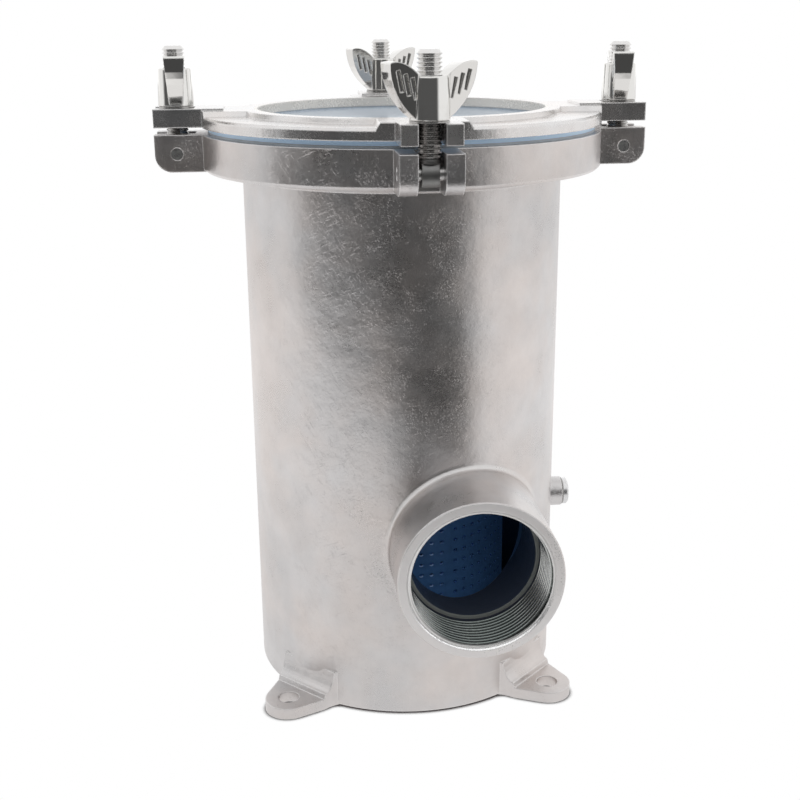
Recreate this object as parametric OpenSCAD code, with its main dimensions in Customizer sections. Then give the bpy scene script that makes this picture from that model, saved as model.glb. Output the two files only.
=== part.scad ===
// Seawater basket strainer, cast body with four swing bolt cover clamps.
// Units are millimetres, +Z up, base plane at z = 0, outlet port faces -Y.

/* [Body] */
// outside radius of the cast body
body_r = 69.3; // [60:0.1:80]
// wall thickness of the body
wall = 5; // [3:0.1:8]
// thickness of the body floor
floor_t = 7; // [4:0.1:12]
// underside of the top flange
flange_z = 230.8; // [200:0.1:260]
// thickness of the top flange
flange_t = 15.5; // [8:0.1:20]
// radius of the top flange and of the cover rim
flange_r = 85.9; // [75:0.1:100]
// height of the bevel under the flange
flange_bevel = 1.2; // [0:0.1:3]
// top of the inner ledge that carries the basket
ledge_z = 140; // [100:1:180]
// thickness of the inner ledge
ledge_t = 4; // [2:0.1:8]
// radius of the opening in the ledge
ledge_open_r = 50; // [48:0.1:60]

/* [Clamp lugs] */
// radius of the hinge pins and bolts from the body axis
bolt_circle_r = 96; // [85:0.1:110]
// distance of the lug end face from the body axis
lug_end = 105.2; // [95:0.1:120]
// half width of the flange lugs
lug_half_w = 11.9; // [9:0.1:16]
// half width of the cover lugs
cover_lug_half_w = 11.3; // [9:0.1:16]
// width of the slot between the ears of a lug
slot_w = 10; // [8:0.1:14]
// inner end of the slots, from the body axis
slot_in = 88.3; // [84:0.1:92]
// rounding of the lower outer corner of a flange lug
lug_corner_r = 7; // [2:0.1:9]
// height of the pin axis above the underside of the flange
pin_up = 7.6; // [5:0.1:10]

/* [Cover] */
// gap between the flange and the cover rim
cover_gap = 2.8; // [2:0.1:5]
// thickness of the cover rim
cover_t = 4.7; // [3:0.1:8]
// height of the raised ring above the underside of the cover
cover_ring_h = 6.8; // [5:0.1:12]
// outside radius of the raised ring
cover_ring_r = 69; // [64:0.1:80]
// radius of the window opening
window_open_r = 62; // [50:0.1:70]
// thickness of the cover lugs
cover_lug_t = 7.7; // [5:0.1:12]
// half width of the pads between ring and lugs
pad_half_w = 16.6; // [11:0.1:24]
// slope of the pad sides, added at the foot
pad_slope = 1.6; // [0:0.1:3]

/* [Window and seals] */
// radius of the window disc
window_r = 83.2; // [70:0.1:85]
// thickness of the window disc
window_t = 3.9; // [2:0.1:8]
// thickness of the flange seal
flange_seal_t = 1; // [0.4:0.1:3]
// thickness of the window seal
window_seal_t = 0.6; // [0.3:0.1:2]
// inside radius of the flange seal
seal_in_r = 66; // [62:0.1:75]
// how far the window seal stays back from the edge of the opening
window_seal_back = 0.2; // [0:0.1:4]

/* [Ports] */
// outside radius of the port barrels
port_r = 34; // [28:0.1:40]
// depth of the chamfer at the port mouth
port_chamfer = 0.8; // [0:0.1:3]
// thread root radius in the ports
thread_major_r = 29.8; // [20:0.05:33]
// thread pitch in the ports
thread_pitch = 2.309; // [1:0.001:4]
// number of thread turns in a port
thread_turns = 10.1; // [4:0.1:14]
// bore radius behind the thread
port_bore_r = 26.7; // [15:0.1:28]
// how far the port faces stand out of the body
port_out = 33.5; // [20:0.1:50]
// height of the outlet port axis
outlet_z = 77.8; // [50:0.1:120]
// sideways offset of the outlet port axis
outlet_x = 20.2; // [0:0.1:30]
// height of the inlet port axis
inlet_z = 184; // [160:0.1:200]
// bevel on the rim of the port face
port_bevel = 0.5; // [0:0.1:3]

/* [Drain boss] */
// radius of the drain boss
boss_r = 6.9; // [5:0.1:12]
// how far the boss stands out of the body
boss_out = 6.1; // [3:0.1:20]
// height of the drain boss axis
boss_z = 74; // [20:0.1:120]
// radius of the drain plug shank
plug_r = 4; // [2:0.1:6]
// radius of the drain plug head
plug_head_r = 6.3; // [4:0.1:9]
// thickness of the drain plug head
plug_head_t = 2.6; // [1:0.1:6]
// thickness of the drain plug seal
plug_seal_t = 0.6; // [0.4:0.1:2]
// how far the plug reaches past the inner wall
plug_in = 2.3; // [0:0.1:5]

/* [Feet] */
// how far the foot holes stand out of the body
foot_out = 13.1; // [11:0.1:25]
// thickness of the feet
foot_t = 5; // [3:0.1:10]
// radius of the rounded foot end
foot_end_r = 10.3; // [7:0.1:14]
// half width of a foot at the step of its root
foot_root_w = 14; // [11:0.1:18]
// distance of the step from the body
foot_step_out = 5; // [2:0.1:8]
// height of the step above the foot
foot_step_h = 2.2; // [0.5:0.1:5]
// height of the hollow root above the step
foot_root_h = 9; // [3:0.1:20]
// diameter of the foot holes
foot_hole_d = 9.2; // [5:0.1:12]

/* [Basket] */
// outside radius of the basket
basket_r = 46.9; // [35:0.1:49]
// wall thickness of the basket
basket_wall = 1.2; // [0.8:0.1:3]
// underside of the basket floor
basket_z = 33; // [20:0.1:60]
// gap between the basket rim and the inner wall
rim_gap = 4.3; // [1:0.1:8]
// thickness of the basket rim
basket_rim_t = 2; // [1:0.1:4]
// diameter of the drawn basket holes
basket_hole_d = 5; // [2:0.1:8]
// holes round the basket in one row
basket_hole_n = 14; // [6:1:24]
// rows of holes in the basket wall
basket_rows = 7; // [2:1:14]
// height of the plain band below and above the holes
basket_margin = 12; // [5:0.5:20]
// distance of the hole circles in the basket floor
basket_floor_step = 12; // [8:0.5:14]
// gap between floor and wall and between wall and rim of the basket
basket_gap = 0.1; // [0.05:0.05:0.3]
// radius of the bail wire
bail_wire_r = 1.5; // [0.8:0.1:3]
// distance of the bail ears from the body axis
bail_ear_x = 49.6; // [47:0.1:52]
// radius of the bail ears
bail_ear_r = 3; // [2:0.1:3.2]
// mean radius of the bail hoop
bail_r = 54; // [48:0.1:56]

/* [Clamp hardware] */
// diameter of the hinge pins
pin_d = 5; // [3:0.1:7]
// radial clearance of the pins in the lugs
pin_clear = 0.03; // [0.01:0.01:0.1]
// radial clearance of the pins in the bolt eyes
eye_clear = 0.06; // [0.01:0.01:0.1]
// radius of the bolt eye
eye_r = 5; // [4:0.1:7]
// thickness of the bolt eye
eye_t = 6.4; // [4:0.1:9]
// thread crest diameter of the eye bolts
bolt_d = 9.4; // [6:0.1:12]
// thread depth of the eye bolts
bolt_thread_h = 0.75; // [0.3:0.05:1.2]
// thread pitch of the eye bolts
bolt_pitch = 1.5; // [1:0.05:2]
// how far the eye bolts stand out of the nuts
bolt_out = 9; // [2:0.1:20]
// radial clearance of the nuts on the bolts
nut_clear = 0.05; // [0.01:0.01:0.1]
// radius of the washers
washer_r = 7.4; // [6:0.1:9]
// thickness of the washers
washer_t = 0.6; // [0.5:0.1:2]
// radius of the nut hub at its foot
hub_r = 7.5; // [6:0.1:9]
// radius of the nut hub at its top
hub_top_r = 7.1; // [5:0.1:9]
// height of the nut hub
hub_h = 15.6; // [8:0.1:20]
// thickness of the nut wings at the foot
wing_foot_t = 5.6; // [3:0.1:9]
// thickness of the nut wings at the top
wing_t = 8.4; // [3:0.1:10]
// reach of the nut wings from the bolt axis
wing_span = 17.2; // [12:0.1:24]
// height of the wing corner above the foot of the nut
wing_rise = 20; // [10:0.1:28]
// depth of the slots pressed in the wings
wing_slot_depth = 0.9; // [0.2:0.1:1.2]
// width of the slots pressed in the wings
wing_slot_w = 1.5; // [0.5:0.1:2]
// length of the slots pressed in the wings
wing_slot_len = 7.6; // [3:0.1:10]
// distance of the first wing slot from the bolt axis
wing_slot_in = 7.7; // [6:0.1:10]
// distance between the wing slots
wing_slot_pitch = 2.8; // [2:0.1:4]
// height of the middle of the first wing slot above the foot of the nut
wing_slot_up = 11.4; // [5:0.1:15]
// lean of the wing slots
wing_slot_lean = 14; // [0:1:30]
// turn of the wings of the four nuts out of the tangent direction
wing_turn = [20, -10, 20, 4]; // [-45:1:45]

/* [Hidden] */
flange_top = flange_z + flange_t;
inner_r = body_r - wall;
pin_z = flange_z + pin_up;
cover_z = flange_top + cover_gap;
rim_z = cover_z + cover_t;
cover_ring_z = cover_z + cover_ring_h;
cover_lug_z = cover_z + cover_lug_t;
port_face = body_r + port_out;
boss_end = body_r + boss_out;
foot_circle_r = body_r + foot_out;
foot_step_r = body_r + foot_step_out;
basket_rim_r = inner_r - rim_gap;
lug_in = flange_r - 10;
ear_half_t = 1.5;
window_z = flange_top + flange_seal_t;
window_top = window_z + window_t;
recess_z = window_top + window_seal_t;
recess_r = window_r + 0.4;
washer_z = cover_lug_z;
hub_z = washer_z + washer_t;
hub_top = hub_z + hub_h;
bolt_top = hub_top + bolt_out;
bolt_thread_z = pin_z + eye_r + 0.1;
thread_len = thread_pitch * thread_turns;
rim_top = ledge_z + basket_rim_t;
bail_z = rim_top + bail_wire_r + 0.3;

// places a child built at the front lug at lug number k, counted counterclockwise
module at_lug(k) {
  rotate([0, 0, 90 * k]) children();
}

// cylinder along -Y from distance a to distance b at height z and offset x
module along_front(x, z, a, b, r1, r2) {
  translate([x, -a, z])
    rotate([90, 0, 0])
      cylinder(h = b - a, r1 = r1, r2 = r2, $fn = 96);
}

// block in front of the axis, from distance a to b, half width w, between two heights
module front_block(w, a, b, z0, z1) {
  translate([-w, -b, z0]) cube([2 * w, b - a, z1 - z0]);
}

// cylinder along X centred on the front hinge axis
module hinge_cyl(r, w) {
  translate([-w, -bolt_circle_r, pin_z])
    rotate([0, 90, 0])
      cylinder(h = 2 * w, r = r, $fn = 48);
}

// solid flange lug with the rounded lower outer corner
module flange_lug() {
  front_block(lug_half_w, lug_in, lug_end - lug_corner_r, flange_z, flange_top);
  front_block(lug_half_w, lug_in, lug_end, flange_z + lug_corner_r, flange_top);
  translate([-lug_half_w, -lug_end + lug_corner_r, flange_z + lug_corner_r])
    rotate([0, 90, 0])
      cylinder(h = 2 * lug_half_w, r = lug_corner_r, $fn = 48);
}

// outside of a port barrel with its root step and bevelled rim
module barrel(x, z) {
  along_front(x, z, inner_r / 3, port_face - port_bevel, port_r, port_r);
  along_front(x, z, port_face - port_bevel, port_face, port_r, port_r - port_bevel);
}

// hole of a port: chamfer, thread root bore, step and plain bore
module port_hole(x, z) {
  translate([x, -port_face, z])
    rotate([-90, 0, 0])
      rotate_extrude($fn = 96)
        polygon([[0, -1], [thread_major_r + 1.6, -1], [thread_major_r, port_chamfer],
          [thread_major_r, thread_len], [port_bore_r, thread_len],
          [port_bore_r, port_face - inner_r / 2], [0, port_face - inner_r / 2]]);
}

// points of a quadratic curve through a and c with the control point b
function curve(a, b, c, n) =
  [for (i = [0 : n]) let (t = i / n) (1 - t) * (1 - t) * a + 2 * t * (1 - t) * b + t * t * c];

// plate of one foot towards the front, its sides touch the round end
module foot_plate(h) {
  w = foot_root_w;
  d = foot_circle_r - foot_step_r;
  turn = acos(foot_end_r / norm([w, d])) - atan2(d, w);
  ex = foot_end_r * cos(turn);
  ey = -foot_circle_r - foot_end_r * sin(turn);
  side = curve([w, -foot_step_r], [w + 0.2, -body_r], [w + 4, 6 - body_r], 4);
  linear_extrude(h)
    polygon(concat([[0, -foot_circle_r], [-ex, ey]],
      [for (p = side) [-p[0], p[1]]], [for (i = [4 : -1 : 0]) side[i]], [[ex, ey]]));
}

// one foot towards the front, base plane at zero, with the step and the hollow root
module foot() {
  top = foot_t + foot_step_h;
  back = curve([foot_step_r - 0.7, top], [body_r + 0.4, top + 0.6],
    [body_r - 0.6, top + foot_root_h], 6);
  translate([0, -foot_circle_r, 0]) cylinder(h = foot_t, r = foot_end_r, $fn = 64);
  foot_plate(foot_t);
  intersection() {
    foot_plate(top + foot_root_h);
    rotate([90, 0, -90])
      linear_extrude(3 * foot_root_w, center = true)
        polygon(concat([[body_r - 6, 1], [foot_step_r, 1], [foot_step_r, foot_t]], back,
          [[body_r - 6, top + foot_root_h]]));
  }
}

module body_casting() {
  color([0.80, 0.78, 0.76])
    difference() {
      union() {
        rotate_extrude($fn = 128)
          polygon([[0, 0], [body_r - 0.8, 0], [body_r, 0.8], [body_r, flange_z - 3],
            [body_r + 3, flange_z], [flange_r - flange_bevel, flange_z],
            [flange_r, flange_z + flange_bevel], [flange_r, flange_top], [0, flange_top]]);
        for (k = [0 : 3]) at_lug(k) flange_lug();
        for (k = [0 : 3]) rotate([0, 0, 45 + 90 * k]) foot();
        barrel(outlet_x, outlet_z);
        rotate([0, 0, 180]) barrel(0, inlet_z);
        rotate([0, 0, 90]) along_front(0, boss_z, inner_r, boss_end, boss_r, boss_r);
      }
      translate([0, 0, floor_t])
        cylinder(h = ledge_z - ledge_t - floor_t, r = inner_r, $fn = 128);
      cylinder_between(ledge_open_r, ledge_z - ledge_t - 1, ledge_z + 1);
      cylinder_between(inner_r, ledge_z, flange_top + 1);
      for (k = [0 : 3]) at_lug(k) {
        front_block(slot_w / 2, slot_in, lug_end + 2, flange_z - 1, flange_top + 1);
        hinge_cyl(pin_d / 2 + pin_clear, lug_half_w + 1);
      }
      port_hole(outlet_x, outlet_z);
      rotate([0, 0, 180]) port_hole(0, inlet_z);
      rotate([0, 0, 90]) along_front(0, boss_z, inner_r / 2, boss_end + 1, plug_r + 0.1,
        plug_r + 0.1);
      for (k = [0 : 3]) rotate([0, 0, 45 + 90 * k])
        translate([0, -foot_circle_r, -1])
          cylinder(h = foot_t + 2, d = foot_hole_d, $fn = 48);
    }
}

// upright cylinder between two heights
module cylinder_between(r, z0, z1) {
  translate([0, 0, z0]) cylinder(h = z1 - z0, r = r, $fn = 128);
}

// pad between the raised ring and a cover lug, flush with the round rim
module cover_pad() {
  intersection() {
    cylinder_between(flange_r, rim_z - 2, cover_ring_z);
    rotate([90, 0, 0])
      linear_extrude(lug_end)
        polygon([[-pad_half_w - pad_slope, rim_z - 2], [pad_half_w + pad_slope, rim_z - 2],
          [pad_half_w + pad_slope, rim_z - 0.4], [pad_half_w, cover_ring_z],
          [-pad_half_w, cover_ring_z], [-pad_half_w - pad_slope, rim_z - 0.4]]);
  }
}

module cover_ring() {
  color([0.84, 0.83, 0.81])
    difference() {
      union() {
        rotate_extrude($fn = 128)
          polygon([[0, cover_z], [flange_r, cover_z], [flange_r, rim_z - 1],
            [flange_r - 1, rim_z], [cover_ring_r, rim_z],
            [cover_ring_r - 0.8, cover_ring_z], [0, cover_ring_z]]);
        for (k = [0 : 3]) at_lug(k) {
          front_block(cover_lug_half_w, lug_in, lug_end, cover_z, cover_lug_z);
          cover_pad();
        }
      }
      cylinder_between(window_open_r, cover_z - 1, cover_lug_z + 1);
      cylinder_between(recess_r, cover_z - 1, recess_z);
      for (k = [0 : 3]) at_lug(k)
        front_block(slot_w / 2, slot_in, lug_end + 2, cover_z - 1, cover_lug_z + 1);
    }
}

module sight_window() {
  color([0.62, 0.72, 0.82, 0.6]) cylinder_between(window_r, window_z, window_top);
}

// flat ring between two radii and two heights
module flat_ring(r0, r1, z0, z1) {
  difference() {
    cylinder_between(r1, z0, z1);
    cylinder_between(r0, z0 - 1, z1 + 1);
  }
}

module flange_seal() {
  color([0.70, 0.76, 0.80]) flat_ring(seal_in_r, window_r, flange_top, window_z);
}

module window_seal() {
  color([0.66, 0.70, 0.72])
    flat_ring(window_open_r + window_seal_back, window_r, window_top, recess_z);
}

module basket_shell() {
  step = (ledge_z - basket_z - 2 * basket_margin) / (basket_rows - 1);
  color([0.10, 0.19, 0.36])
    difference() {
      cylinder_between(basket_r, basket_z, rim_top);
      cylinder_between(basket_r - basket_wall, basket_z - 1, rim_top + 1);
      for (i = [0 : basket_rows - 1], j = [0 : basket_hole_n - 1])
        rotate([0, 0, (j + 0.5 * (i % 2)) * 360 / basket_hole_n])
          translate([0, -basket_r + 3 * basket_wall, basket_z + basket_margin + step * i])
            rotate([90, 0, 0]) cylinder(h = 6 * basket_wall, d = basket_hole_d, $fn = 24);
    }
}

module basket_floor() {
  color([0.10, 0.19, 0.36])
    difference() {
      cylinder_between(basket_r - basket_wall - basket_gap, basket_z, basket_z + basket_wall);
      for (i = [1 : 3], j = [0 : 6 * i - 1])
        rotate([0, 0, j * 60 / i])
          translate([i * basket_floor_step, 0, basket_z - 1])
            cylinder(h = basket_wall + 2, d = basket_hole_d, $fn = 24);
    }
}

// rim with two upright ears that carry the bail
module basket_rim() {
  color([0.12, 0.21, 0.38])
    difference() {
      union() {
        flat_ring(basket_r + basket_gap, basket_rim_r, ledge_z, rim_top);
        for (s = [-1, 1])
          translate([s * bail_ear_x, 0, rim_top - 0.5]) {
            translate([-ear_half_t, -bail_ear_r, 0])
              cube([2 * ear_half_t, 2 * bail_ear_r, bail_z - rim_top + 0.5]);
            translate([-ear_half_t, 0, bail_z - rim_top + 0.5])
              rotate([0, 90, 0]) cylinder(h = 2 * ear_half_t, r = bail_ear_r, $fn = 48);
          }
      }
      translate([-basket_rim_r, 0, bail_z])
        rotate([0, 90, 0])
          cylinder(h = 2 * basket_rim_r, r = bail_wire_r + pin_clear, $fn = 48);
    }
}

// wire hoop lying on the rim, its two straight ends turn in the rim ears
module basket_bail() {
  color([0.72, 0.72, 0.72])
    translate([0, 0, bail_z]) {
      rotate_extrude(angle = 180, $fn = 96)
        translate([bail_r, 0]) circle(r = bail_wire_r, $fn = 32);
      for (s = [-1, 1])
        translate([s * bail_r, 0, 0]) {
          sphere(r = bail_wire_r, $fn = 32);
          rotate([0, -s * 90, 0])
            cylinder(h = bail_r - bail_ear_x + ear_half_t + 0.7, r = bail_wire_r, $fn = 32);
        }
    }
}

module drain_plug() {
  color([0.78, 0.77, 0.75])
    rotate([0, 0, 90])
      difference() {
        union() {
          along_front(0, boss_z, inner_r - plug_in, boss_end + 1, plug_r, plug_r);
          along_front(0, boss_z, boss_end + plug_seal_t, boss_end + plug_seal_t + plug_head_t - 0.6,
            plug_head_r, plug_head_r);
          along_front(0, boss_z, boss_end + plug_seal_t + plug_head_t - 0.6,
            boss_end + plug_seal_t + plug_head_t, plug_head_r, plug_head_r - 0.6);
        }
        translate([0, -boss_end - 0.6, boss_z])
          rotate([90, 0, 0]) cylinder(h = 6, r = plug_r - 1.1, $fn = 6);
      }
}

module drain_seal() {
  color([0.25, 0.27, 0.30])
    rotate([0, 0, 90])
      difference() {
        along_front(0, boss_z, boss_end, boss_end + plug_seal_t, boss_r - 0.5, boss_r - 0.5);
        along_front(0, boss_z, boss_end - 1, boss_end + 3, plug_r + 0.1, plug_r + 0.1);
      }
}

module hinge_pin() {
  color([0.70, 0.70, 0.70]) hinge_cyl(pin_d / 2, lug_half_w - 0.25);
}

// eye and threaded shank, the thread is drawn as rings at its real pitch
module eye_bolt() {
  n = floor((bolt_top - 0.4 - bolt_thread_z) / bolt_pitch);
  rr = bolt_d / 2;
  turns = [for (i = [0 : n - 1], j = [0, 1])
    [j == 0 ? rr - bolt_thread_h : rr, bolt_thread_z + bolt_pitch * (i + 0.25 + 0.5 * j)]];
  color([0.74, 0.74, 0.73])
    difference() {
      union() {
        translate([0, -bolt_circle_r, 0])
          rotate_extrude($fn = 64)
            polygon(concat([[0, bolt_thread_z - 1.2], [rr - 0.4, bolt_thread_z - 1.2],
              [rr - 0.4, bolt_thread_z]], turns,
              [[rr - bolt_thread_h - 0.1, bolt_top - 0.3], [rr - bolt_thread_h - 0.5, bolt_top],
              [0, bolt_top]]));
        hinge_cyl(eye_r, eye_t / 2);
      }
      hinge_cyl(pin_d / 2 + eye_clear, eye_t);
    }
}

module washer() {
  color([0.72, 0.72, 0.72])
    translate([0, -bolt_circle_r, washer_z])
      difference() {
        cylinder(h = washer_t, r = washer_r, $fn = 64);
        translate([0, 0, -1]) cylinder(h = washer_t + 2, r = bolt_d / 2 + 0.3, $fn = 64);
      }
}

// side view of one wing, drawn between two curves
module wing_outline() {
  low = curve([0.38 * wing_span, 0.03 * wing_rise], [wing_span, 0.42 * wing_rise],
    [wing_span, wing_rise], 8);
  high = curve([0.977 * wing_span, 1.02 * wing_rise], [0.67 * wing_span, 1.09 * wing_rise],
    [0.29 * wing_span, 0.76 * wing_rise], 8);
  polygon(concat([[0.2 * wing_span, 0.03 * wing_rise]], low, high,
    [[0.2 * wing_span, 0.7 * wing_rise]]));
}

// one wing with three slots pressed in each side, wing points to +X
module wing() {
  translate([0, 0, hub_z])
    difference() {
      intersection() {
        rotate([90, 0, 0]) linear_extrude(2 * wing_t, center = true) wing_outline();
        rotate([90, 0, 90])
          linear_extrude(wing_span + 1)
            polygon([[-wing_foot_t / 2, 0], [wing_foot_t / 2, 0], [wing_t / 2, wing_rise],
              [wing_t / 2, 1.2 * wing_rise], [-wing_t / 2, 1.2 * wing_rise],
              [-wing_t / 2, wing_rise]]);
      }
      for (i = [0 : 2], s = [-1, 1])
        translate([wing_slot_in + wing_slot_pitch * i, s * wing_t / 2, wing_slot_up + 1.3 * i])
          rotate([0, wing_slot_lean, 0])
            cube([wing_slot_w, 2 * wing_slot_depth + 1, wing_slot_len], center = true);
    }
}

module wing_nut(k) {
  color([0.80, 0.80, 0.79])
    translate([0, -bolt_circle_r, 0])
      difference() {
        union() {
          rotate_extrude($fn = 64)
            polygon([[0, hub_z], [hub_r - 0.4, hub_z], [hub_r, hub_z + 0.4],
              [hub_top_r, hub_top - 0.5], [hub_top_r - 0.5, hub_top], [0, hub_top]]);
          rotate([0, 0, wing_turn[k]]) {
            wing();
            rotate([0, 0, 180]) wing();
          }
        }
        translate([0, 0, hub_z - 1])
          cylinder(h = hub_h + 2, r = bolt_d / 2 + nut_clear, $fn = 64);
      }
}

body_casting();
cover_ring();
sight_window();
flange_seal();
window_seal();
basket_shell();
basket_floor();
basket_rim();
basket_bail();
drain_plug();
drain_seal();
at_lug(0) hinge_pin();  // hinge_pin_1
at_lug(1) hinge_pin();  // hinge_pin_2
at_lug(2) hinge_pin();  // hinge_pin_3
at_lug(3) hinge_pin();  // hinge_pin_4
at_lug(0) eye_bolt();  // eye_bolt_1
at_lug(1) eye_bolt();  // eye_bolt_2
at_lug(2) eye_bolt();  // eye_bolt_3
at_lug(3) eye_bolt();  // eye_bolt_4
at_lug(0) washer();  // washer_1
at_lug(1) washer();  // washer_2
at_lug(2) washer();  // washer_3
at_lug(3) washer();  // washer_4
at_lug(0) wing_nut(0);  // wing_nut_1
at_lug(1) wing_nut(1);  // wing_nut_2
at_lug(2) wing_nut(2);  // wing_nut_3
at_lug(3) wing_nut(3);  // wing_nut_4
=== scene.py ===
import math

import bmesh
import bpy
import numpy as np
from mathutils import Matrix, Vector


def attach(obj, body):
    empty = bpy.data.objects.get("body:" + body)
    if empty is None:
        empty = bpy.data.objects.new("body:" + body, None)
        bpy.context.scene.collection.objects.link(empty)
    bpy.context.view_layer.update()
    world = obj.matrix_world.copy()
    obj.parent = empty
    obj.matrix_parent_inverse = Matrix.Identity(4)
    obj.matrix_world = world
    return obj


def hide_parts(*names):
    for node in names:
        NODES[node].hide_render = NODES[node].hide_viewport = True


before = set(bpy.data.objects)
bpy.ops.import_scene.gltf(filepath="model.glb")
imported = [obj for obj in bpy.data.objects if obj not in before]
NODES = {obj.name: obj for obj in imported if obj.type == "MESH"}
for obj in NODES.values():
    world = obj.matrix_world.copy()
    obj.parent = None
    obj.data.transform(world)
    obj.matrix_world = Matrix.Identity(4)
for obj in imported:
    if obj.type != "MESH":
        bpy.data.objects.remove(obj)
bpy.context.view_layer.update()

# Sizes and places of the CAD part that the added surfaces, the finishes and the painted shade and
# highlights follow, in metres.
BODY_R = 0.0693
CAVITY_R = 0.0646
CAVITY_Z = (0.0065, 0.2461)
OUTLET = (0.0202, 0.0778)
INLET = (0.0, 0.184)
BARREL_R = 0.034
FILLET = 0.0032
PORT_FACE = 0.1028
PORT_R = 0.0298
CREST_R = 0.0283
PITCH = 0.002309
THREAD_DEPTH = (0.0009, 0.0231)
FACE_R, FACE_Y = 0.0336, 0.1020
MOUTH_R = 0.0305
TUNNEL_R, TUNNEL_Y = 0.02985, (0.0500, 0.0799)
STEP_R, STEP_Y = 0.0282, 0.0790
OPENING_R, OPENING_Z = 0.0632, 0.2485
WINDOW_RIM_R = 0.0826
CLAMP_R, HUB_R = 0.096, 0.0076
BOLT_EYE_Z, BOLT_TOP_Z = 0.2440, 0.2660

# The basket's wall: radii and heights, then the hole pattern measured in the photograph.
BASKET_R, BASKET_IN = 0.0469, 0.0457
WALL_Z = (0.033, 0.141)
HOLE_R, HOLE_WIDER, HOLE_CORNERS = 0.0008, 1.25, 16
COLUMNS, ROWS = 62, 20
ROW_Z, ROWS_UNDER, ROW_PITCH = 0.0652, 5, 0.0051
SEAM_AT, SEAM_HALF = 18.85, 1.3
SEAM_LEAN_Z, SEAM_LEAN = (0.052, 0.067), (17.0, 20.4)

# Share of the distance from its axis by which a nut's wings thin out, and the angle in degrees
# from which the edges of a ring are sharp.
WING_TAPER = 0.11
RING_SHARP = 70.0

# The light tent's dark sector ends at these angles, in radians from -Y towards +X.
SECTOR_RIGHT = (0.58, 0.90)

CAST_TONE, CAST_ROUGH = (0.685, 0.655, 0.640), 0.31
WHITE = (1.0, 1.0, 1.0, 1.0)


def grid_quads(p, wrap=False, flip=False):
    """Quads over the point array p[u, v]; wrap joins the last row and column to the first."""
    nu, nv = p.shape[:2]
    iu, iv = np.arange(nu if wrap else nu - 1), np.arange(nv if wrap else nv - 1)
    a, b = np.meshgrid(iu, iv, indexing="ij")
    a2, b2 = (a + 1) % nu, (b + 1) % nv
    quads = np.stack([a * nv + b, a2 * nv + b, a2 * nv + b2, a * nv + b2], -1).reshape(-1, 4)
    return quads[:, ::-1] if flip else quads


def mesh_object(name, verts, quads):
    """Mesh object at the origin from a vertex array and a quad array."""
    me = bpy.data.meshes.new(name)
    me.vertices.add(len(verts))
    me.vertices.foreach_set("co", np.asarray(verts, dtype=np.float32).ravel())
    me.loops.add(quads.size)
    me.loops.foreach_set("vertex_index", np.ascontiguousarray(quads, dtype=np.int32).ravel())
    me.polygons.add(len(quads))
    me.polygons.foreach_set("loop_start", np.arange(0, quads.size, 4, dtype=np.int32))
    me.update(calc_edges=True)
    me.validate()
    me.polygons.foreach_set("use_smooth", np.ones(len(me.polygons), dtype=bool))
    ob = bpy.data.objects.new(name, me)
    bpy.context.collection.objects.link(ob)
    return ob


def ring_object(name, p, flip=False):
    """Closed ring over p[u, v], smooth but for the edges where its hidden back wall begins."""
    ob = mesh_object(name, p.reshape(-1, 3), grid_quads(p, True, flip))
    ob.data.set_sharp_from_angle(angle=math.radians(RING_SHARP))
    return ob


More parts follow.
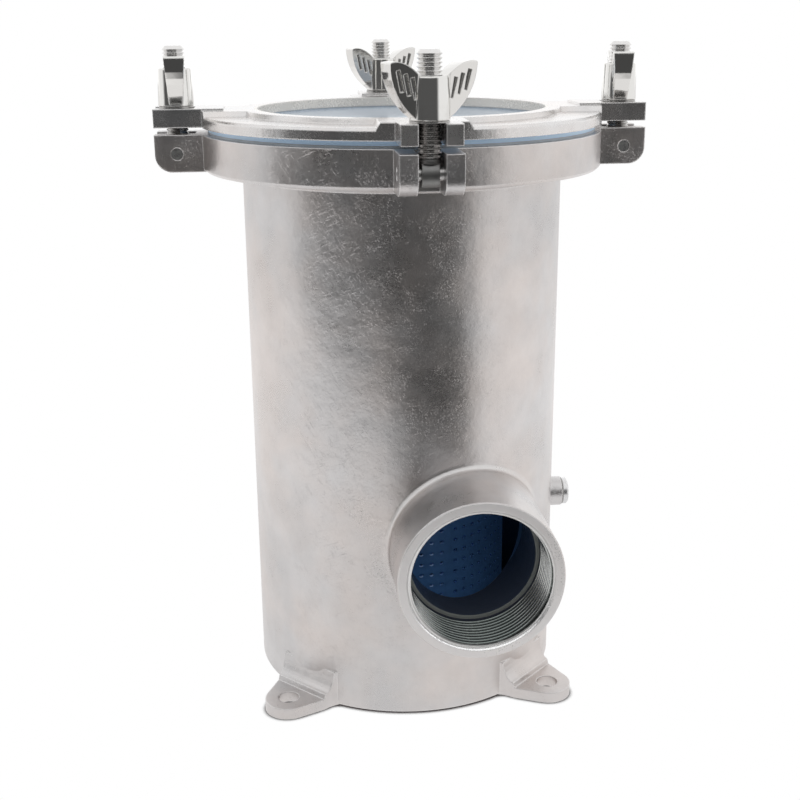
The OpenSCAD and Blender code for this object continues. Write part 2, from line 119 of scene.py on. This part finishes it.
class Nodes:
    """Short calls for building a node tree."""

    def __init__(self, tree):
        self.t = tree
        tree.nodes.clear()

    def put(self, sock, v):
        """Links an output or sets a value; None leaves the input as it is."""
        if isinstance(v, bpy.types.NodeSocket):
            self.t.links.new(v, sock)
        elif v is not None:
            sock.default_value = v

    def add(self, kind, out=0, props=None, **inputs):
        """One node and one of its outputs; inputs go by name, or by number as i0, i1 and so on."""
        n = self.t.nodes.new(kind)
        for k, v in (props or {}).items():
            setattr(n, k, v)
        for k, v in inputs.items():
            numbered = k[0] == "i" and k[1:].isdigit()
            self.put(n.inputs[int(k[1:]) if numbered else k.replace("_", " ")], v)
        return n.outputs[out]

    def math(self, op, a, b=None):
        return self.add("ShaderNodeMath", props={"operation": op}, i0=a, i1=b)

    def vector(self, op, a, b, out=0):
        return self.add("ShaderNodeVectorMath", out=out, props={"operation": op}, i0=a, i1=b)

    def plus(self, a, b):
        return self.math("ADD", a, b)

    def minus(self, a, b):
        return self.math("SUBTRACT", a, b)

    def times(self, a, *more):
        for b in more:
            a = self.math("MULTIPLY", a, b)
        return a

    def most(self, a, *more):
        for b in more:
            a = self.math("MAXIMUM", a, b)
        return a

    def below(self, v, limit):
        return self.math("LESS_THAN", v, limit)

    def above(self, v, limit):
        return self.math("GREATER_THAN", v, limit)

    def length2(self, a, b):
        return self.math("SQRT", self.plus(self.times(a, a), self.times(b, b)))

    def angle(self, x, y):
        """Angle about the Z axis from -Y towards +X, in radians."""
        return self.math("ARCTAN2", x, self.times(y, -1.0))

    def ramp(self, v, lo, hi, to0=0.0, to1=1.0, smooth=False):
        n = self.t.nodes.new("ShaderNodeMapRange")
        n.interpolation_type = "SMOOTHSTEP" if smooth else "LINEAR"
        self.put(n.inputs[0], v)
        for i, x in enumerate((lo, hi, to0, to1)):
            n.inputs[i + 1].default_value = x
        return n.outputs[0]

    def mix(self, f, a, b):
        n = self.t.nodes.new("ShaderNodeMix")
        n.data_type = "RGBA"
        for i, v in ((0, f), (6, a), (7, b)):
            self.put(n.inputs[i], v)
        return n.outputs[2]

    def noise(self, vec, scale, detail=3.0, rough=0.5, stretch=None):
        if stretch:
            vec = self.vector("MULTIPLY", vec, stretch)
        return self.add("ShaderNodeTexNoise", Vector=vec, Scale=scale, Detail=detail, Roughness=rough)

    def split(self, vec):
        """X, Y and Z of a vector."""
        s = self.t.nodes.new("ShaderNodeSeparateXYZ")
        self.t.links.new(vec, s.inputs[0])
        return s.outputs[0], s.outputs[1], s.outputs[2]

    def place(self):
        return self.t.nodes.new("ShaderNodeTexCoord").outputs["Object"]

    def coords(self):
        vec = self.place()
        return vec, *self.split(vec)

    def turned(self, vec, angle):
        """The coordinates turned about the X and Y axes by the same angle."""
        return self.add("ShaderNodeVectorRotate", props={"rotation_type": "EULER_XYZ"}, Vector=vec,
                        Rotation=(angle, angle, 0.0))

    def face_normal(self):
        return self.add("ShaderNodeNewGeometry", out=3)

    def bevel(self, radius, samples=4):
        return self.add("ShaderNodeBevel", props={"samples": samples}, Radius=radius)

    def bump(self, height, strength, distance, normal):
        return self.add("ShaderNodeBump", Strength=strength, Distance=distance, Height=height,
                        Normal=normal)

    def edge(self, bevel_normal):
        """1 along sharp edges, where the bevelled normal leaves the face's own one."""
        return self.ramp(self.vector("DOT_PRODUCT", self.face_normal(), bevel_normal, out=1), 0.985, 0.86)

    def principled(self, col, rough, **more):
        return self.add("ShaderNodeBsdfPrincipled", Base_Color=col, Roughness=rough, **more)

    def camera_ray(self):
        return self.t.nodes.new("ShaderNodeLightPath").outputs["Is Camera Ray"]

    def out(self, shader, kind="ShaderNodeOutputMaterial"):
        self.t.links.new(shader, self.t.nodes.new(kind).inputs[0])


def material(name):
    m = bpy.data.materials.new(name)
    m.use_nodes = True
    return m, Nodes(m.node_tree)


def give(ob, m):
    ob.data.materials.clear()
    ob.data.materials.append(m)


def rgb(r, g, b):
    return (r, g, b, 1.0)


def darker(tone, share=0.85):
    return rgb(*(c * share for c in tone))


def port_distance(n, x, y, z):
    """Distance from the axis of the port on the same side, and distance from the middle plane."""
    front = n.below(y, 0.0)
    cx = n.times(front, OUTLET[0])
    cz = n.plus(INLET[1], n.times(front, OUTLET[1] - INLET[1]))
    return n.length2(n.minus(x, cx), n.minus(z, cz)), n.math("ABSOLUTE", y)


def body_zones(n, x, y, z, col, r):
    """Zones of the body: painted shade, dark and without metal, inside the vessel and in the bores behind
    the thread, pale machined port faces with a painted highlight at the bottom of the mouth, and a
    painted highlight line along the upper root of each barrel, strongest on the left. Gives the colour,
    the roughness, the share of metal and where the painted edge highlight may go."""
    d, away = port_distance(n, x, y, z)
    over = n.minus(z, OUTLET[1])
    cavity = n.times(n.below(n.length2(x, y), CAVITY_R), n.above(z, CAVITY_Z[0]), n.below(z, CAVITY_Z[1]))
    tunnel = n.times(n.below(d, TUNNEL_R), n.below(away, TUNNEL_Y[1]), n.above(away, TUNNEL_Y[0]))
    step = n.times(n.above(away, STEP_Y), n.below(d, STEP_R))
    face = n.times(n.below(d, FACE_R), n.above(away, FACE_Y))
    # Painted highlight: a white band along the bottom of the port mouth, below its axis.
    mouth = n.times(face, n.below(d, MOUTH_R), n.ramp(over, -0.022, -0.005, 1.0, 0.0))
    face = n.times(n.minus(face, mouth), 0.75)
    # Painted highlight: a pale line along the upper root of each barrel, strongest on the left.
    off_line = n.math("ABSOLUTE", n.minus(d, BARREL_R + 0.0011))
    line = n.times(n.ramp(off_line, 0.0002, 0.0010, 1.0, 0.0, smooth=True), n.ramp(over, 0.004, 0.022),
                   n.below(away, BODY_R + 0.0037), n.ramp(x, 0.012, 0.045, 0.85, 0.2))
    # Zones of painted shade; they also get no metal and no painted edge highlight.
    painted_shade_zone = n.most(cavity, tunnel)
    col = n.mix(face, col, rgb(0.86, 0.84, 0.835))
    col = n.mix(mouth, col, WHITE)
    col = n.mix(line, col, rgb(0.93, 0.92, 0.91))
    # Painted shade: the bores behind the thread are coloured nearly black, their step face grey, and the
    # inside of the vessel dark.
    col = n.mix(tunnel, col, n.mix(step, rgb(0.070, 0.082, 0.112), rgb(0.32, 0.34, 0.325)))
    col = n.mix(cavity, col, rgb(0.16, 0.175, 0.20))
    r = n.minus(r, n.times(mouth, 0.15))
    return col, r, n.minus(1.0, n.most(painted_shade_zone, face, line)), n.minus(1.0, n.most(painted_shade_zone, mouth))


def cast_steel(name, tone, rough, body=False, grainy=1.0, edges=True):
    """Satin cast stainless steel: fine grain, scratches, pits and soft cloudy patches that also
    bend the reflections a little. Its edges are rounded and, unless edges is False, get a painted
    highlight: pale colour and less metal along them. The cover's opening has a paler inner wall."""
    m, n = material(name)
    vec, x, y, z = n.coords()
    cloud = n.noise(vec, 34.0, 5.0, 0.62)
    patch = n.noise(vec, 95.0, 4.0, 0.6)
    grain = n.noise(vec, 1500.0, 2.0, 0.6)
    one_way = n.noise(n.turned(vec, 0.5), 2100.0, 2.0, 0.6, (1.0, 1.0, 0.05))
    other_way = n.noise(n.turned(vec, -0.9), 2300.0, 2.0, 0.6, (1.0, 1.0, 0.06))
    scratch = n.times(n.most(n.ramp(one_way, 0.60, 0.70), n.ramp(other_way, 0.61, 0.71)),
                      n.ramp(patch, 0.42, 0.58, 0.25 * grainy, grainy))
    warm = n.ramp(n.noise(vec, 22.0, 3.0, 0.6), 0.38, 0.62)
    col = n.mix(n.ramp(cloud, 0.36, 0.66), darker(tone), rgb(*tone))
    col = n.vector("MULTIPLY", col, n.mix(warm, rgb(0.97, 0.995, 1.02), rgb(1.02, 0.995, 0.985)))
    col = n.mix(n.ramp(patch, 0.52, 0.72, 0.0, 0.10), col, rgb(0.48, 0.45, 0.44))
    col = n.mix(n.times(scratch, 0.10), col, rgb(0.85, 0.84, 0.83))
    r = n.plus(n.ramp(cloud, 0.3, 0.7, rough - 0.05, rough + 0.06), n.ramp(grain, 0.3, 0.7, -0.03, 0.03))
    r = n.plus(r, n.times(scratch, 0.14))
    if body:
        col, r, metal, edge_highlight_share = body_zones(n, x, y, z, col, r)
    else:
        opening = n.times(n.below(n.length2(x, y), OPENING_R), n.above(z, OPENING_Z))
        col = n.mix(opening, col, rgb(0.84, 0.81, 0.76))
        metal, edge_highlight_share = n.minus(1.0, n.times(opening, 0.7)), 1.0
    rounded = None
    if edges:
        rounded = n.bevel(0.0008, 6)
        # Painted highlight along sharp edges: paler colour and less metal where the rounded normal turns
        # away from the face.
        edge = n.times(n.edge(rounded), edge_highlight_share)
        col = n.mix(n.times(edge, 0.8), col, rgb(0.90, 0.89, 0.88))
        metal = n.minus(metal, n.times(edge, 0.5))
    height = n.plus(n.times(grain, 0.35 * grainy), n.times(n.noise(vec, 300.0, 3.0), 0.9 * grainy))
    normal = n.bump(height, 0.22, 0.00012, rounded)
    normal = n.bump(scratch, 0.35, 0.00012, normal)
    normal = n.bump(patch, 0.60, 0.00040, normal)
    n.out(n.principled(col, r, Metallic=metal, Normal=normal))
    return m


def thread_metal():
    """Cut thread with pale crests. Painted shade makes its roots nearly black by the distance from the
    port axis and darkens the crests at the bottom of the bore; a painted highlight brightens the first
    turn."""
    m, n = material("port_thread")
    vec, x, y, z = n.coords()
    d, away = port_distance(n, x, y, z)
    # Painted shade: the crests darken towards the bottom of the bore.
    side = n.ramp(n.minus(z, OUTLET[1]), -0.025, -0.014)
    # Painted shade in the roots, by the distance from the port axis.
    deep = n.ramp(d, CREST_R + 0.0001, PORT_R - 0.0007)
    # Painted highlight on the first turn behind the port face.
    entry = n.ramp(away, PORT_FACE - 0.0024, PORT_FACE - 0.0018)
    spots = n.ramp(n.noise(vec, 650.0, 3.0, 0.6), 0.56, 0.68, 0.0, 0.5)
    col = n.mix(side, rgb(0.24, 0.27, 0.26), rgb(0.62, 0.63, 0.62))
    col = n.mix(deep, col, rgb(0.050, 0.058, 0.055))
    col = n.mix(spots, col, rgb(0.34, 0.37, 0.36))
    col = n.mix(entry, col, rgb(0.92, 0.91, 0.90))
    n.out(n.principled(col, 0.24, Metallic=n.ramp(entry, 0.0, 1.0, 1.0, 0.15)))
    return m


def fine_spread(n, vec, lo, hi):
    """Roughness that varies finely between two values."""
    return n.ramp(n.noise(vec, 700.0, 2.0), 0.3, 0.7, lo, hi)


def wavy(n, vec, strength, normal):
    """Faint waviness of a machined or polished face."""
    return n.bump(n.noise(vec, 180.0, 2.0), strength, 0.0003, normal)


def plain_metal(name, tone, rough):
    """Machined metal with a faint waviness."""
    m, n = material(name)
    vec = n.place()
    n.out(n.principled(rgb(*tone), fine_spread(n, vec, rough * 0.8, rough * 1.2), Metallic=1.0,
                       Normal=wavy(n, vec, 0.05, n.bevel(0.0003))))
    return m


def bolt_metal():
    """Machined eye bolt: painted shade darkens the eye under the thread, which is also rougher, and a
    painted highlight brightens the thread above the nut.
    """
    m, n = material("machined_bolt")
    vec, x, y, z = n.coords()
    eye = n.below(z, BOLT_EYE_Z)
    # Painted highlight: the thread above the nut is coloured brighter.
    col = n.mix(n.above(z, BOLT_TOP_Z), rgb(0.46, 0.45, 0.44), rgb(0.78, 0.77, 0.76))
    # Painted shade: the eye is coloured dark.
    col = n.mix(eye, col, rgb(0.27, 0.27, 0.265))
    r = n.plus(fine_spread(n, vec, 0.18, 0.26), n.times(eye, 0.22))
    n.out(n.principled(col, r, Metallic=1.0, Normal=wavy(n, vec, 0.05, n.bevel(0.0003))))
    return m


def nut_metal():
    """Polished wing nut. The wings of the cast part thin outwards: a bump that falls with the
    distance from the nearest nut axis tilts their reflections the same way."""
    m, n = material("polished_nut")
    vec, x, y, z = n.coords()
    ax, ay = n.math("ABSOLUTE", x), n.math("ABSOLUTE", y)
    near = n.math("MINIMUM", n.length2(ax, n.minus(ay, CLAMP_R)), n.length2(n.minus(ax, CLAMP_R), ay))
    taper = n.times(n.most(n.minus(near, HUB_R), 0.0), -WING_TAPER)
    normal = n.bump(taper, 1.0, 1.0, n.bevel(0.0006))
    n.out(n.principled(rgb(0.78, 0.77, 0.75), fine_spread(n, vec, 0.05, 0.09), Metallic=1.0,
                       Normal=wavy(n, vec, 0.12, normal)))
    return m


def plastic(name, tone, rough, spec=0.5):
    """Plain moulded plastic or rubber with a faint tone variation."""
    m, n = material(name)
    cloud = n.ramp(n.noise(n.place(), 60.0, 3.0), 0.35, 0.65)
    n.out(n.principled(n.mix(cloud, darker(tone), rgb(*tone)), rough, Specular_IOR_Level=spec))
    return m


def basket_plastic(tone, glow):
    """Navy plastic of the basket wall: its outer face has a painted glow, stronger on the left, with soft
    bands between the hole rows on the left and less glow at the seam; the lower lip of each hole gets a
    painted highlight, strongest on the left."""
    m, n = material("basket_wall")
    vec, x, y, z = n.coords()
    rad = n.length2(x, y)
    # Soft bands of the painted glow between the hole rows, on the left only.
    row = n.times(n.minus(z, ROW_Z), 2 * math.pi / ROW_PITCH)
    band = n.times(n.math("COSINE", row), n.ramp(z, 0.055, 0.070, -0.20, -0.04),
                   n.ramp(x, 0.012, 0.026, 1.0, 0.0, smooth=True))
    around = n.times(n.angle(x, y), 180.0 / math.pi)
    off_seam = n.math("ABSOLUTE", n.minus(around, n.ramp(z, *SEAM_LEAN_Z, *SEAM_LEAN)))
    # Strength of the painted glow: falls from left to right and at the seam, with a random tone.
    level = n.times(n.plus(band, 1.0), n.ramp(off_seam, 0.15, 0.6, 0.72, 1.0),
                    n.ramp(x, 0.010, 0.040, 1.08, 0.74),
                    n.ramp(n.noise(vec, 120.0, 3.0), 0.35, 0.65, 0.86, 1.08))
    outer = n.above(rad, BASKET_R - 0.00015)
    in_hole = n.times(n.above(rad, BASKET_IN + 0.0001), n.minus(1.0, outer))
    up = n.split(n.face_normal())[2]
    # Painted highlight on the lower lip of each hole, strongest on the left.
    lip = n.times(in_hole, n.above(up, 0.3), n.ramp(x, 0.008, 0.015, 1.0, 0.12))
    # The outer face and the hole lips glow: painted light, not a lamp.
    n.out(n.principled(rgb(*tone), 0.30, Emission_Color=n.mix(lip, rgb(*tone), rgb(0.45, 0.62, 0.85)),
                       Emission_Strength=n.plus(n.times(outer, level, glow), n.times(lip, 0.16))))
    return m


def window_material():
    """Blue-grey acrylic: see-through face to face, a pale reflection at low angles, milky at its rim,
    where a painted glow also lights it.
    """
    m, n = material("window_acrylic")
    x, y, z = n.split(n.place())
    clear = n.add("ShaderNodeBsdfTransparent", Color=rgb(0.72, 0.83, 0.92))
    gloss = n.add("ShaderNodeBsdfAnisotropic", Color=rgb(0.80, 0.84, 0.88), Roughness=0.10)
    haze = n.add("ShaderNodeBsdfDiffuse", Color=rgb(0.66, 0.73, 0.82))
    facing = n.ramp(n.add("ShaderNodeLayerWeight", out=1, Blend=0.5), 0.12, 0.58, 0.08, 0.97)
    skin = n.add("ShaderNodeMixShader", i0=0.45, i1=gloss, i2=haze)
    pane = n.add("ShaderNodeMixShader", i0=facing, i1=clear, i2=skin)
    # The rim's milky colour plus a painted glow from emission.
    milky_glowing_rim = n.principled(rgb(0.60, 0.78, 0.97), 0.3, Emission_Color=rgb(0.42, 0.62, 0.86),
                        Emission_Strength=0.16)
    rim = n.above(n.length2(x, y), WINDOW_RIM_R)
    n.out(n.add("ShaderNodeMixShader", i0=rim, i1=pane, i2=milky_glowing_rim))
    return m


def thread_ridges(name, cx, cz, sign):
    """Helical ridge inside a port: radius r(t) = root - depth * tri(phase), with
    phase = (depth behind the face) / pitch - angle / turn, so one ridge climbs one pitch per turn.
    A plain sleeve inside the port's wall closes it at the back."""
    around, along = 192, 121
    ang = np.linspace(0, 2 * np.pi, around + 1)[:-1]
    a, d = np.meshgrid(ang, np.linspace(*THREAD_DEPTH, along), indexing="ij")
    phase = (d / PITCH - a / (2 * np.pi)) % 1.0
    tri = np.clip(1.25 - np.abs(2 * phase - 1) * 1.6, 0, 1)
    fade_in = np.clip((d - THREAD_DEPTH[0]) / 0.0012, 0, 1)
    fade_out = np.clip((THREAD_DEPTH[1] - d) / 0.0006, 0, 1)
    r = PORT_R - 0.00005 - (PORT_R - CREST_R) * tri * fade_in * fade_out
    sleeve = np.full((around, 1), PORT_R + 0.0003)
    r = np.concatenate([sleeve, r, sleeve], 1)
    a, d = (np.concatenate([v[:, :1], v, v[:, -1:]], 1) for v in (a, d))
    p = np.stack([cx + r * np.cos(a), sign * (PORT_FACE - d), cz + r * np.sin(a)], -1)
    return ring_object(name, p, flip=sign > 0)


def on_cylinder(r, u, v):
    """Point (r cos u, r sin u, v) for every u and v."""
    return np.stack([r * np.cos(u), r * np.sin(u), v + 0 * u], -1)


def perforated_basket(name):
    """Wall of the basket as two cylinders r = 45.7 and 46.9 mm joined by small round holes. Each hole
    sits in a square cell: corner k of the hole is centre + hole * (1.25 cos k, sin k), the same corner
    on the cell's edge is centre + half * (cos k, sin k) / max(|cos k|, |sin k|), and (u, v) maps to
    (r cos u, r sin u, v). A plain strip runs down the seam, plain bands close the wall at its top and
    bottom, and the points that the sheets share are merged."""
    seam, half_seam = math.radians(SEAM_AT - 90.0), math.radians(SEAM_HALF)
    first_row = ROW_Z - ROWS_UNDER * ROW_PITCH
    low, high = first_row - 0.5 * ROW_PITCH, first_row + (ROWS - 0.5) * ROW_PITCH
    width = (2 * np.pi - 2 * half_seam) / COLUMNS
    k = np.arange(HOLE_CORNERS)
    ck, sk = np.cos(k * 2 * np.pi / HOLE_CORNERS), np.sin(k * 2 * np.pi / HOLE_CORNERS)
    to_cell = np.maximum(np.abs(ck), np.abs(sk))
    cu, cv = np.meshgrid(seam + half_seam + (np.arange(COLUMNS) + 0.5) * width,
                         first_row + np.arange(ROWS) * ROW_PITCH, indexing="ij")
    cu, cv = cu.reshape(-1, 1), cv.reshape(-1, 1)
    cell = (cu + 0.5 * width * ck / to_cell, cv + 0.5 * ROW_PITCH * sk / to_cell)
    hole = (cu + HOLE_WIDER * HOLE_R / BASKET_R * ck, cv + HOLE_R * sk)
    loops = ((BASKET_R, cell), (BASKET_R, hole), (BASKET_IN, hole), (BASKET_IN, cell))
    points = [np.stack([on_cylinder(r, *uv) for r, uv in loops], 1).reshape(-1, 3)]
    base = (np.arange(COLUMNS * ROWS) * len(loops) * HOLE_CORNERS)[:, None, None]
    ring = np.arange(len(loops) - 1)[None, :, None] * HOLE_CORNERS
    a, b = base + ring + k, base + ring + (k + 1) % HOLE_CORNERS
    quads = [np.stack([a, b, b + HOLE_CORNERS, a + HOLE_CORNERS], -1).reshape(-1, 4)]
    side = np.tan(np.arange(-2, 2) * np.pi / 8)
    strip = np.linspace(seam - half_seam, seam + half_seam, 5)
    full = np.concatenate([strip[:-1], (cu[::ROWS] + 0.5 * width * side).ravel(), [strip[0] + 2 * np.pi]])
    rows = np.append((cv[:ROWS] + 0.5 * ROW_PITCH * side).ravel(), high)
    sheets = []
    for us, vs in ((strip, rows), (full, (WALL_Z[0], low)), (full, (high, WALL_Z[1]))):
        u, v = np.meshgrid(us, vs, indexing="ij")
        sheets += [(on_cylinder(BASKET_R, u, v), False), (on_cylinder(BASKET_IN, u, v), True)]
    u, r = np.meshgrid(full, (BASKET_R, BASKET_IN), indexing="ij")
    sheets += [(on_cylinder(r, u, WALL_Z[0]), True), (on_cylinder(r, u, WALL_Z[1]), False)]
    start = len(points[0])
    for p, flip in sheets:
        points.append(p.reshape(-1, 3))
        quads.append(start + grid_quads(p, flip=flip))
        start += len(points[-1])
    ob = mesh_object(name, np.concatenate(points), np.concatenate(quads))
    bm = bmesh.new()
    bm.from_mesh(ob.data)
    bmesh.ops.remove_doubles(bm, verts=bm.verts, dist=1e-6)
    bm.to_mesh(ob.data)
    bm.free()
    ob.data.polygons.foreach_set("use_smooth", np.zeros(len(ob.data.polygons), dtype=bool))
    return ob


def port_fillet(name, cx, cz, sign):
    """Hollow strip at the root of a port barrel. At each angle a it runs from the barrel (r = 34 mm)
    to the body along the quadratic curve (1-t)^2 A + 2 t (1-t) C + t^2 B, where C is the corner,
    A lies 3.2 mm out along the barrel and B lies 3.2 mm further out on the body. A line of points
    in the metal behind the corner closes it."""
    around, steps = 144, 9
    a = np.linspace(0, 2 * np.pi, around + 1)[:-1]

    def on_body(rad):
        x = cx + rad * np.cos(a)
        return np.stack([x, -np.sqrt(BODY_R ** 2 - x ** 2), cz + rad * np.sin(a)], -1)

    corner = on_body(BARREL_R + 0.00001)
    foot = on_body(BARREL_R + FILLET)
    foot[:, :2] *= 1.0001
    top = corner + np.array([0.0, -FILLET, 0.0])
    behind = on_body(BARREL_R - 0.0006) + np.array([0.0, 0.0010, 0.0])
    t = np.linspace(0, 1, steps)[None, :, None]
    p = (1 - t) ** 2 * top[:, None] + 2 * t * (1 - t) * corner[:, None] + t ** 2 * foot[:, None]
    p = np.concatenate([p, behind[:, None]], 1)
    p[..., 1] *= -sign
    return ring_object(name, p, flip=sign < 0)


BODY = cast_steel("cast_body", CAST_TONE, CAST_ROUGH, body=True)
ROOT = cast_steel("cast_root", CAST_TONE, CAST_ROUGH, body=True, edges=False)
COVER = cast_steel("cast_cover", (0.79, 0.775, 0.765), 0.25, grainy=0.3)
PIN = plain_metal("hinge_pin", (0.60, 0.60, 0.59), 0.3)
BOLT = bolt_metal()
NUT = nut_metal()
WIRE = plain_metal("wire", (0.6, 0.6, 0.6), 0.25)
THREAD = thread_metal()
BASKET = plastic("navy_basket", (0.085, 0.23, 0.54), 0.30)
BASKET_WALL = basket_plastic((0.10, 0.26, 0.60), 0.045)
PALE = plastic("pale_seal", (0.60, 0.67, 0.73), 0.5, 0.4)
GREY = plastic("grey_seal", (0.42, 0.41, 0.40), 0.5, 0.4)
WINDOW = window_material()

LOOKS = {
    "body_casting": BODY, "cover_ring": COVER, "sight_window": WINDOW, "flange_seal": PALE,
    "window_seal": PALE, "basket_shell": BASKET, "basket_floor": BASKET, "basket_rim": BASKET,
    "basket_bail": WIRE, "drain_plug": COVER, "drain_seal": GREY,
}
NUMBERED_LOOKS = {"hinge_pin": PIN, "eye_bolt": BOLT, "washer": BOLT, "wing_nut": NUT}
for name, ob in NODES.items():
    give(ob, LOOKS[name] if name in LOOKS else NUMBERED_LOOKS[name.rsplit("_", 1)[0]])

for tag, (cx, cz), sign in (("outlet", OUTLET, -1), ("inlet", INLET, 1)):
    ridge = thread_ridges(f"{tag}_thread", cx, cz, sign)
    give(ridge, THREAD)
    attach(ridge, "strainer")
    root = port_fillet(f"{tag}_root", cx, cz, sign)
    give(root, ROOT)
    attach(root, "strainer")

wall = perforated_basket("basket_wall")
give(wall, BASKET_WALL)
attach(wall, "strainer")
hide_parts("basket_shell")


def floor_stage():
    """White ground: pure white to the camera with a thin contact shade in front, and to reflections a
    bright field near the object that turns dark in a sector in front of it. The left edge of that
    sector moves further left with the distance."""
    half, drop = 6.0, -0.0001
    corners = [(-half, -half, drop), (half, -half, drop), (half, half, drop), (-half, half, drop)]
    ob = mesh_object("floor", np.array(corners), np.array([[0, 1, 2, 3]]))
    m, n = material("floor_white")
    x, y, z = n.split(n.place())
    rad = n.length2(x, y)
    side = n.angle(x, y)
    left = n.plus(n.ramp(rad, 0.40, 0.74, -0.16, -0.95, smooth=True),
                  n.ramp(rad, 0.76, 0.95, 0.0, -0.45, smooth=True))
    dark = n.times(n.ramp(rad, 0.24, 0.34, smooth=True),
                   n.ramp(n.minus(side, left), -0.22, 0.16, smooth=True),
                   n.ramp(side, *SECTOR_RIGHT, 1.0, 0.0, smooth=True))
    level = n.times(n.ramp(rad, 0.20, 0.40, 0.85, 1.0), n.ramp(rad, 0.55, 1.1, 1.0, 0.84))
    lit = n.mix(level, rgb(0.0, 0.0, 0.0), rgb(1.08, 1.070, 1.066))
    lit = n.mix(dark, lit, rgb(0.070, 0.070, 0.070))
    open_sky = n.add("ShaderNodeAmbientOcclusion", out=1, props={"samples": 12}, Distance=0.0035)
    clear = n.most(n.ramp(open_sky, 0.50, 0.80), n.ramp(y, -0.048, -0.030, smooth=True))
    seen = n.mix(clear, rgb(0.06, 0.05, 0.05), WHITE)
    n.out(n.add("ShaderNodeEmission", Color=n.mix(n.camera_ray(), lit, seen), Strength=1.0))
    give(ob, m)


def world_light():
    """Light tent: white to the camera, bright above and at the sides, brighter low at the back, with
    a dark sector low in front."""
    w = bpy.data.worlds.new("tent")
    bpy.context.scene.world = w
    w.use_nodes = True
    n = Nodes(w.node_tree)
    x, y, z = n.split(n.t.nodes.new("ShaderNodeTexCoord").outputs["Generated"])
    side = n.angle(x, y)
    dark = n.times(n.ramp(side, -1.50, -1.20, smooth=True), n.ramp(z, 0.30, 0.60, 1.0, 0.0, smooth=True),
                   n.ramp(side, *SECTOR_RIGHT, 1.0, 0.0, smooth=True))
    back = n.times(n.ramp(y, 0.3, 0.8, smooth=True), n.ramp(z, 0.1, 0.6, 1.0, 0.0, smooth=True))
    lit = n.mix(back, WHITE, rgb(1.25, 1.25, 1.25))
    lit = n.mix(dark, lit, rgb(0.10, 0.10, 0.10))
    sky = n.add("ShaderNodeBackground", Color=n.mix(n.camera_ray(), lit, WHITE), Strength=1.0)
    n.out(sky, "ShaderNodeOutputWorld")


def photo_camera():
    """Camera of the photograph, fitted to the picture: 545 mm from the object's axis and 293 mm above
    its base. Pitch, yaw, roll and the object's turn are in radians, the focal length in pixels."""
    f_px, height, dist = 1228.5, 0.29336, 0.545
    pitch, yaw, roll, turn = 0.30346, -0.00281, -0.00794, 0.1053
    picture_px, sensor_mm = 800.0, 36.0
    cp, sp, cy, sy = math.cos(pitch), math.sin(pitch), math.cos(yaw), math.sin(yaw)
    forward = Vector((sy * cp, cy * cp, -sp))
    level = Vector((cy, -sy, 0.0))
    steep = level.cross(forward)
    right = math.cos(roll) * level + math.sin(roll) * steep
    up = -math.sin(roll) * level + math.cos(roll) * steep
    m = Matrix((right, up, -forward)).transposed().to_4x4()
    m.translation = Vector((0.0, -dist, height))
    cam = bpy.data.cameras.new("photo_camera")
    cam.sensor_width = sensor_mm
    cam.lens = sensor_mm * f_px / picture_px
    ob = bpy.data.objects.new("photo_camera", cam)
    ob.matrix_world = Matrix.Rotation(-turn, 4, "Z") @ m
    bpy.context.collection.objects.link(ob)
    bpy.context.scene.camera = ob


floor_stage()
world_light()
photo_camera()
bpy.context.scene.view_settings.view_transform = "Standard"
